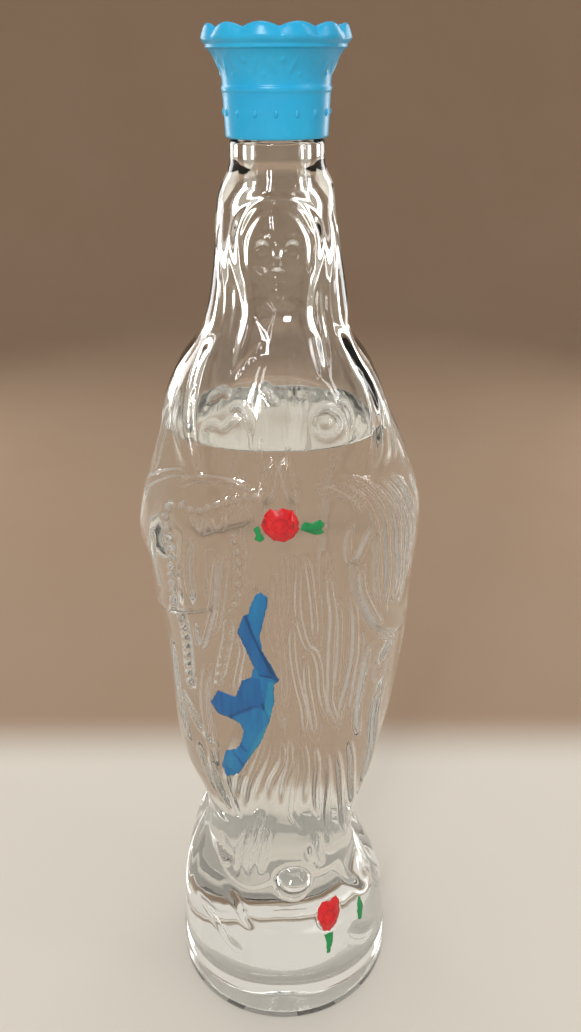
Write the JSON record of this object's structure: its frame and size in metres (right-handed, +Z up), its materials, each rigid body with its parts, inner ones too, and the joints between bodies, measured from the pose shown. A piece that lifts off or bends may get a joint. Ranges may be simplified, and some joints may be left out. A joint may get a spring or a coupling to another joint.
{
  "type": "holy water bottle",
  "caption": "Clear moulded glass bottle shaped as a robed, veiled standing figure on a mound, part filled with water, with a worn painted sash and roses and a scalloped screw crown as cap.",
  "frame": {"origin": "middle of the standing ring, on the neck's axis", "axes": "+Z up along the neck, the figure faces -Y, +X to the viewer's right"},
  "size_m": [0.0852, 0.0783, 0.311],
  "materials": {
    "clear_glass": "clear, fire polished",
    "blue_plastic": "semi gloss",
    "liner_foam": "matt",
    "water": "clear liquid",
    "blue_enamel": "worn cold paint",
    "red_enamel": "worn cold paint",
    "green_enamel": "worn cold paint"
  },
  "bodies": {
    "bottle": {"glass_bottle": "clear_glass", "holy_water": "water", "painted_sash": "blue_enamel", "waist_rose": "red_enamel", "waist_leaves": "green_enamel", "foot_rose": "red_enamel", "foot_leaves": "green_enamel"},
    "cap_seal": {"cap_liner": "liner_foam"},
    "crown": {"crown_cap": "blue_plastic"}
  },
  "joints": [
    {"name": "cap_lift", "type": "slide", "parent": "bottle", "child": "cap_seal", "axis": [0, 0, 1], "range_m": [0, 0.05]},
    {"name": "cap_turn", "type": "hinge", "parent": "cap_seal", "child": "crown", "pos_m": [0, 0, 0.295], "axis": [0, 0, 1], "range_deg": [0, 540]}
  ]
}
